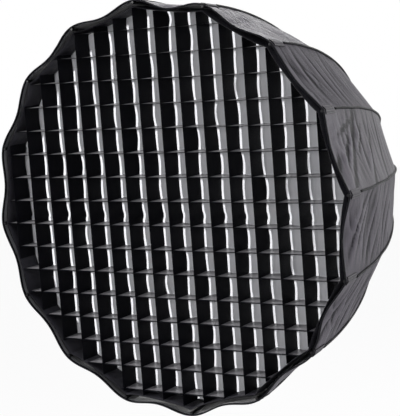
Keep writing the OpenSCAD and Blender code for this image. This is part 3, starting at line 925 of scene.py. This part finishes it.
def add_strip(i, upright):
    """One strip as a wavy sheet with thickness, its columns dealt out to the sectors."""
    u, places, wave = strip_line(i, upright)
    f = np.concatenate([[0], np.linspace(HEM, 1, DEEP_STEPS)])[None]
    at = places[:, None]
    off = u + STRIP_WAVE[upright] * wave[:, None] * f ** WAVE_POWER + SWAY * np.sin(at * SWAY_RATE + i) * f
    if upright:
        kink = np.exp(-(((at - PACK_FOLD) / PACK_WIDE) ** 2))
        off = off + PACK_DEEP * kink * f ** PACK_POWER
    ripple = RIPPLE * np.sin(at * RIPPLE_RATE + RIPPLE_PHASE * i)
    depth = (GRID_DEPTH + ripple * RIPPLE_SHARE) * f
    run = np.repeat(at, DEEP_STEPS + 1, 1)
    px, py = (off, run) if upright else (-run, off)
    c, s = math.cos(GRID_TURN), math.sin(GRID_TURN)
    mid = to_row(c * px - s * py, s * px + c * py, GRID_Z + GRID_DEPTH - depth)
    nrm = np.cross(np.gradient(mid, axis=0), np.gradient(mid, axis=1))
    nrm /= np.linalg.norm(nrm, axis=2, keepdims=True)
    centre = mid.mean(1)
    between = (centre[:-1] + centre[1:]) / 2
    owner = (np.mod(np.arctan2(between[:, 2], between[:, 0]), 2 * math.pi) / SECTOR).astype(int) % SECTORS
    n = 0
    while n < len(owner):
        e = n
        while e + 1 < len(owner) and owner[e + 1] == owner[n]:
            e += 1
        part = slice(n, e + 2)
        pts, faces, which, nn = slab(mid[part] + nrm[part] * STRIP_T / 2, nrm[part], STRIP_T)
        all_verts, all_faces, all_normals, kinds = sector_parts[owner[n]]
        # Level strips' faces behind the hem take the painted light; edges, hems and upright strips keep the plain
        # dark colour
        kinds.extend(DARK_FACE if upright or side == EDGE or q % DEEP_STEPS == 0 else PAINTED_LIT_FACE
                     for q, side in enumerate(which))
        base = len(all_verts)
        all_verts.extend(pts)
        all_normals.extend(nn)
        all_faces.extend(tuple(q + base for q in face) for face in faces)
        n = e + 1


for i in range(STRIPS):
    add_strip(i, True)
    add_strip(i, False)
for j, (verts, faces, normals, kinds) in sector_parts.items():
    v = np.array(verts)
    thread = np.stack([v[:, 0] + v[:, 2], v[:, 1]], -1)
    o = make_object(f"grid_strips_{j:02d}", verts, faces, [grid_mat, lit_grid_mat], kinds, normals, thread)
    sector_fold(o, "grid")
    if j == 0:
        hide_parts("grid_upright_strips", "grid_level_strips")

# Stage: floor, world, lamps and camera

FLOOR_Z, FLOOR_HALF, FLOOR_ROUGH = -1.25, 14.0, 0.8
FLOOR_DARK, FLOOR_LIGHT, FLOOR_SCALE = (0.62, 0.62, 0.62), (0.66, 0.66, 0.66), 3.0
# Share of plain white that the camera sees in place of the lit floor
FLOOR_GLOW = 0.92
WHITE, AMBIENT, AMBIENT_POWER = (1, 1, 1, 1), (0.965, 0.955, 1.0, 1), 0.70

corners = [(x * FLOOR_HALF, y * FLOOR_HALF, FLOOR_Z) for x, y in ((-1, -1), (1, -1), (1, 1), (-1, 1))]
floor_mat, fn, fl, fp = new_material("floor_paint")
mottle = noise(fn, fl, fn.new("ShaderNodeTexCoord").outputs["Object"], FLOOR_SCALE)
fl.new(ramp(fn, fl, mottle, [(DARK_AT, FLOOR_DARK), (LIGHT_AT, FLOOR_LIGHT)]), fp.inputs["Base Color"])
fp.inputs["Roughness"].default_value = FLOOR_ROUGH
glow, both, ray = fn.new("ShaderNodeEmission"), fn.new("ShaderNodeMixShader"), fn.new("ShaderNodeLightPath")
fl.new(math_node(fn, fl, "MULTIPLY", ray.outputs["Is Camera Ray"], FLOOR_GLOW), both.inputs["Fac"])
fl.new(fp.outputs[0], both.inputs[1])
fl.new(glow.outputs[0], both.inputs[2])
fl.new(both.outputs[0], fn["Material Output"].inputs["Surface"])
floor = make_object("floor", corners, [(0, 1, 2, 3)], [floor_mat])

# The world is white to the camera, to reflections and through cloth, and a softer light on surfaces
world = bpy.data.worlds.new("studio")
scene.world = world
world.use_nodes = True
wn, wl = world.node_tree.nodes, world.node_tree.links
wn.clear()
out, mix, ray = wn.new("ShaderNodeOutputWorld"), wn.new("ShaderNodeMixShader"), wn.new("ShaderNodeLightPath")
seen, lit = wn.new("ShaderNodeBackground"), wn.new("ShaderNodeBackground")
seen.inputs["Color"].default_value = WHITE
seen.inputs["Strength"].default_value = 1.0
lit.inputs["Color"].default_value = AMBIENT
lit.inputs["Strength"].default_value = AMBIENT_POWER
mirrored = math_node(wn, wl, "MAXIMUM", ray.outputs["Is Glossy Ray"], ray.outputs["Is Transmission Ray"])
wl.new(math_node(wn, wl, "MAXIMUM", ray.outputs["Is Camera Ray"], mirrored), mix.inputs["Fac"])
wl.new(lit.outputs[0], mix.inputs[1])
wl.new(seen.outputs[0], mix.inputs[2])
wl.new(mix.outputs[0], out.inputs["Surface"])

# The photograph's upright, against the ribs: the box is turned on its axis by this angle
TURN = math.radians(7.312)
RIM_CENTRE = Vector((0, -RIM_Z, 0))
# Lamps, beside the rim's centre in upright axes: place, target, width, height and power
KEY_AZ, KEY_EL, KEY_FAR, KEY_WIDE, KEY_POWER = math.radians(39.5), math.radians(8), 4.2, 0.2, 200
LAMPS = {"fill": ((0.3, -4.0, 0.6), (0, 0, 0), 1.6, 1.6, 22),
         "top": ((0.2, -1.2, 2.2), (0, 0.2, 0), 2.0, 1.2, 14),
         "back_top": ((-1.3, 3.4, 1.9), (0, 0.3, 0.3), 1.4, 0.8, 40),
         "back_right": ((1.5, 3.6, 0.2), (0.3, 0.3, 0), 0.7, 0.7, 48)}
# Camera, fitted to the photograph in the same axes
FOCAL_PX, FRAME_PX, SENSOR, CLIP_END = 1370.03, 416, 36.0, 60
CAM_AT = (1.62619, -2.395408, 0.471134)
CAM_FORWARD = (-0.53116473, 0.8321042, -0.1595827)
CAM_UP = (-0.05874759, 0.15172577, 0.98667523)


def from_view(x, y, z):
    """A direction or place beside the rim's centre, in upright axes, to the row's axes."""
    c, s = math.cos(TURN), math.sin(TURN)
    return Vector((c * x + s * z, y, -s * x + c * z))


def area_lamp(name, where, target, size_x, size_y, power):
    light = bpy.data.lights.new(name, "AREA")
    light.shape = "RECTANGLE"
    light.size, light.size_y = size_x, size_y
    light.energy = power
    o = bpy.data.objects.new(name, light)
    o.location = where
    o.rotation_mode = "QUATERNION"
    o.rotation_quaternion = (target - where).to_track_quat("-Z", "Y")
    scene.collection.objects.link(o)


key_from = from_view(-math.sin(KEY_AZ) * math.cos(KEY_EL), -math.cos(KEY_AZ) * math.cos(KEY_EL), math.sin(KEY_EL))
area_lamp("key", RIM_CENTRE + key_from * KEY_FAR, RIM_CENTRE, KEY_WIDE, KEY_WIDE, KEY_POWER)
for name, (place, target, *rest) in LAMPS.items():
    area_lamp(name, RIM_CENTRE + from_view(*place), RIM_CENTRE + from_view(*target), *rest)

cam_data = bpy.data.cameras.new("camera")
cam_data.sensor_width = SENSOR
cam_data.lens = FOCAL_PX * cam_data.sensor_width / FRAME_PX
cam_data.clip_end = CLIP_END
cam = bpy.data.objects.new("camera", cam_data)
forward, up = from_view(*CAM_FORWARD).normalized(), from_view(*CAM_UP)
right = forward.cross(up).normalized()
up = right.cross(forward)
rot = Matrix((right, up, -forward)).transposed()
cam.matrix_world = Matrix.Translation(RIM_CENTRE + from_view(*CAM_AT)) @ rot.to_4x4()
scene.collection.objects.link(cam)
scene.camera = cam
scene.view_settings.view_transform = "Standard"
